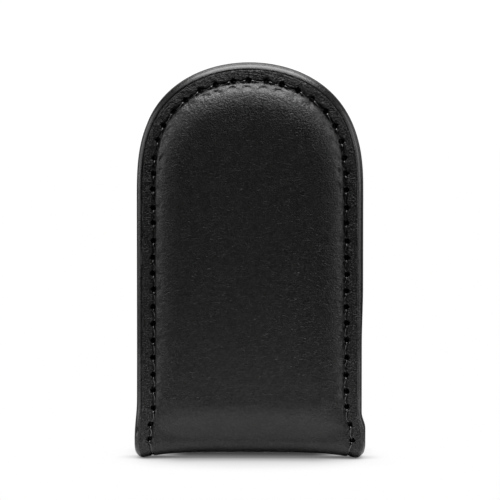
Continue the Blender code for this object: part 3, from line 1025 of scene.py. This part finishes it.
class MONEYCLIP_OT_seams(bpy.types.Operator):
    """Sew both faces of both leaves"""

    bl_idname = "money_clip.seams"
    bl_label = "Seams"

    def execute(self, context):
        material = thread_finish("waxed_thread", tuple(context.scene.money_clip_colours.thread))
        for word, side in LEAVES.items():
            for outer in (True, False):
                make_seam(clip_pattern(context), word, side, material, outer)
        return {"FINISHED"}


class MONEYCLIP_OT_padding(bpy.types.Operator):
    """Lay the sheet foam under the outer leather of both leaves"""

    bl_idname = "money_clip.padding"
    bl_label = "Foam padding"

    def execute(self, context):
        material = foam_finish()
        for word, side in LEAVES.items():
            make_foam(clip_pattern(context), word, side, material)
        return {"FINISHED"}


class MONEYCLIP_OT_inner_pieces(bpy.types.Operator):
    """Give the stiffeners, magnets and reinforcing tape their materials"""

    bl_idname = "money_clip.inner_pieces"
    bl_label = "Inner pieces"

    def execute(self, context):
        finishes = {
            "stiffener": board_finish(),
            "magnet": magnet_finish(),
            "reinforcement": tape_finish(),
        }
        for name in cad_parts:
            for word, material in finishes.items():
                if word in name:
                    obj = bpy.data.objects[name]
                    obj.data.materials.clear()
                    obj.data.materials.append(material)
        return {"FINISHED"}


def add_light(name, place, target, size, power):
    """A rectangular soft light aimed at a point."""
    light = bpy.data.lights.new(name, "AREA")
    light.shape = "RECTANGLE"
    light.size, light.size_y = size
    light.energy = power
    obj = bpy.data.objects.new(name, light)
    obj.location = place
    obj.rotation_euler = (target - Vector(place)).to_track_quat("-Z", "Y").to_euler()
    bpy.context.scene.collection.objects.link(obj)


def floor_glow(finish):
    """How bright the table looks: a painted shadow, darker near the clip and in a soft shade under
    and behind it.
    """
    open_sky = finish.nodes.new("ShaderNodeAmbientOcclusion")
    open_sky.samples = 16
    open_sky.inputs["Distance"].default_value = 0.035
    near = finish.math("MULTIPLY_ADD", open_sky.outputs["AO"], 1.1, 0.1)
    x, y, _ = finish.split(finish.place)
    squares = []
    for source, centre, reach, stretch in ((x, 0.0, 12.0, 1.6), (y, 7.2, 1.0, 1.0)):
        past = finish.math("ABSOLUTE", finish.math("SUBTRACT", source, centre))
        past = finish.math("MAXIMUM", finish.math("SUBTRACT", past, reach), 0.0)
        past = finish.math("MULTIPLY", past, stretch)
        squares.append(finish.math("MULTIPLY", past, past))
    away = finish.math("SQRT", finish.math("ADD", *squares))
    return finish.math("MINIMUM", near, finish.spread(away, 0.0, 22.0, 0.055, 1.0))


def make_floor():
    """A pale table top, lit near the clip, that the camera sees turn into the white backdrop."""
    bm = bmesh.new()
    bmesh.ops.create_circle(bm, cap_ends=True, radius=0.9, segments=96)
    bmesh.ops.translate(bm, vec=(0.0, 0.0, -0.00004), verts=bm.verts)
    mesh = bpy.data.meshes.new("floor")
    bm.to_mesh(mesh)
    bm.free()
    finish = Finish("pale_table", (0.8, 0.8, 0.8), 0.9)
    finish.set("Specular IOR Level", 0.0)
    finish.set("Emission Color", (1.0, 1.0, 1.0, 1.0))
    distance = finish.nodes.new("ShaderNodeVectorMath")
    distance.operation = "LENGTH"
    finish.links.new(finish.place, distance.inputs[0])
    far = finish.spread(distance.outputs["Value"], 20.0, 70.0, 0.0, 1.0)
    pale = finish.blend_colours(far, (0.82, 0.82, 0.82), (0.01, 0.01, 0.01))
    seen = finish.nodes.new("ShaderNodeLightPath").outputs["Is Camera Ray"]
    finish.colour(finish.blend_colours(seen, pale, (0.0, 0.0, 0.0)))
    # The camera sees only this glow, with the clip's shadow painted into it.
    glow = finish.math("MULTIPLY", floor_glow(finish), seen)
    finish.links.new(glow, finish.shader.inputs["Emission Strength"])
    mesh.materials.append(finish.material)
    obj = bpy.data.objects.new("floor", mesh)
    bpy.context.scene.collection.objects.link(obj)


def make_world():
    """White backdrop for the camera and a dimmer fill for everything else."""
    world = bpy.data.worlds.new("studio")
    world.use_nodes = True
    nodes, links = world.node_tree.nodes, world.node_tree.links
    back = nodes["Background"]
    back.inputs["Color"].default_value = (1.0, 1.0, 1.0, 1.0)
    path = nodes.new("ShaderNodeLightPath")
    level = nodes.new("ShaderNodeMapRange")
    level.inputs["To Min"].default_value = 0.06
    level.inputs["To Max"].default_value = 1.05
    links.new(path.outputs["Is Camera Ray"], level.inputs["Value"])
    links.new(level.outputs["Result"], back.inputs["Strength"])
    bpy.context.scene.world = world


def make_camera(azimuth, elevation, distance, target, width):
    """A camera in front of the clip, turned by degrees, that sees a width at its target."""
    camera = bpy.data.cameras.new("camera")
    camera.lens = camera.sensor_width * distance / width
    camera.clip_start = 0.05
    camera.clip_end = 20.0
    obj = bpy.data.objects.new("camera", camera)
    turn, rise = math.radians(azimuth), math.radians(elevation)
    flat = math.cos(rise)
    away = Vector((math.sin(turn) * flat, -math.cos(turn) * flat, math.sin(rise)))
    obj.location = target + away * distance
    obj.rotation_euler = (-away).to_track_quat("-Z", "Y").to_euler()
    bpy.context.scene.collection.objects.link(obj)
    bpy.context.scene.camera = obj


class MONEYCLIP_OT_stage(bpy.types.Operator):
    """Set out the table, the backdrop, the soft lights and the camera"""

    bl_idname = "money_clip.stage"
    bl_label = "Studio"

    def execute(self, context):
        make_floor()
        make_world()
        middle = Vector((0.0001, 0.0, 0.0412))
        add_light("overhead_softbox", (0.0, 0.02, 0.5), middle, size=(0.5, 0.4), power=5.0)
        for side in (-1, 1):
            place = (side * 0.5, 0.0, 0.12)
            add_light("side_softbox", place, middle, size=(0.3, 0.4), power=0.85)
        make_camera(azimuth=1.2, elevation=5.0, distance=1.1, target=middle, width=0.0989)
        context.scene.view_settings.view_transform = "Standard"
        context.scene.view_settings.look = "None"
        return {"FINISHED"}


class MONEYCLIP_PT_panel(bpy.types.Panel):
    """Sizes, colours and the steps that make the clip"""

    bl_label = "Money Clip"
    bl_idname = "MONEYCLIP_PT_panel"
    bl_space_type = "VIEW_3D"
    bl_region_type = "UI"
    bl_category = "Money Clip"

    def draw(self, context):
        layout = self.layout
        for group in (context.scene.money_clip_sizes, context.scene.money_clip_colours):
            box = layout.box()
            for key in group.__annotations__:
                box.prop(group, key)
        for operator in OPERATORS:
            layout.operator(operator.bl_idname)


OPERATORS = (
    MONEYCLIP_OT_outer_leather,
    MONEYCLIP_OT_lining,
    MONEYCLIP_OT_seams,
    MONEYCLIP_OT_padding,
    MONEYCLIP_OT_inner_pieces,
    MONEYCLIP_OT_stage,
)
CLASSES = (ClipSizes, ClipColours, *OPERATORS, MONEYCLIP_PT_panel)


def register():
    for cls in CLASSES:
        bpy.utils.register_class(cls)
    bpy.types.Scene.money_clip_sizes = bpy.props.PointerProperty(type=ClipSizes)
    bpy.types.Scene.money_clip_colours = bpy.props.PointerProperty(type=ClipColours)


def unregister():
    del bpy.types.Scene.money_clip_colours
    del bpy.types.Scene.money_clip_sizes
    for cls in reversed(CLASSES):
        bpy.utils.unregister_class(cls)


def main():
    register()
    for step in ("outer_leather", "lining", "seams", "padding", "inner_pieces", "stage"):
        getattr(bpy.ops.money_clip, step)()


if __name__ == "__main__":
    main()
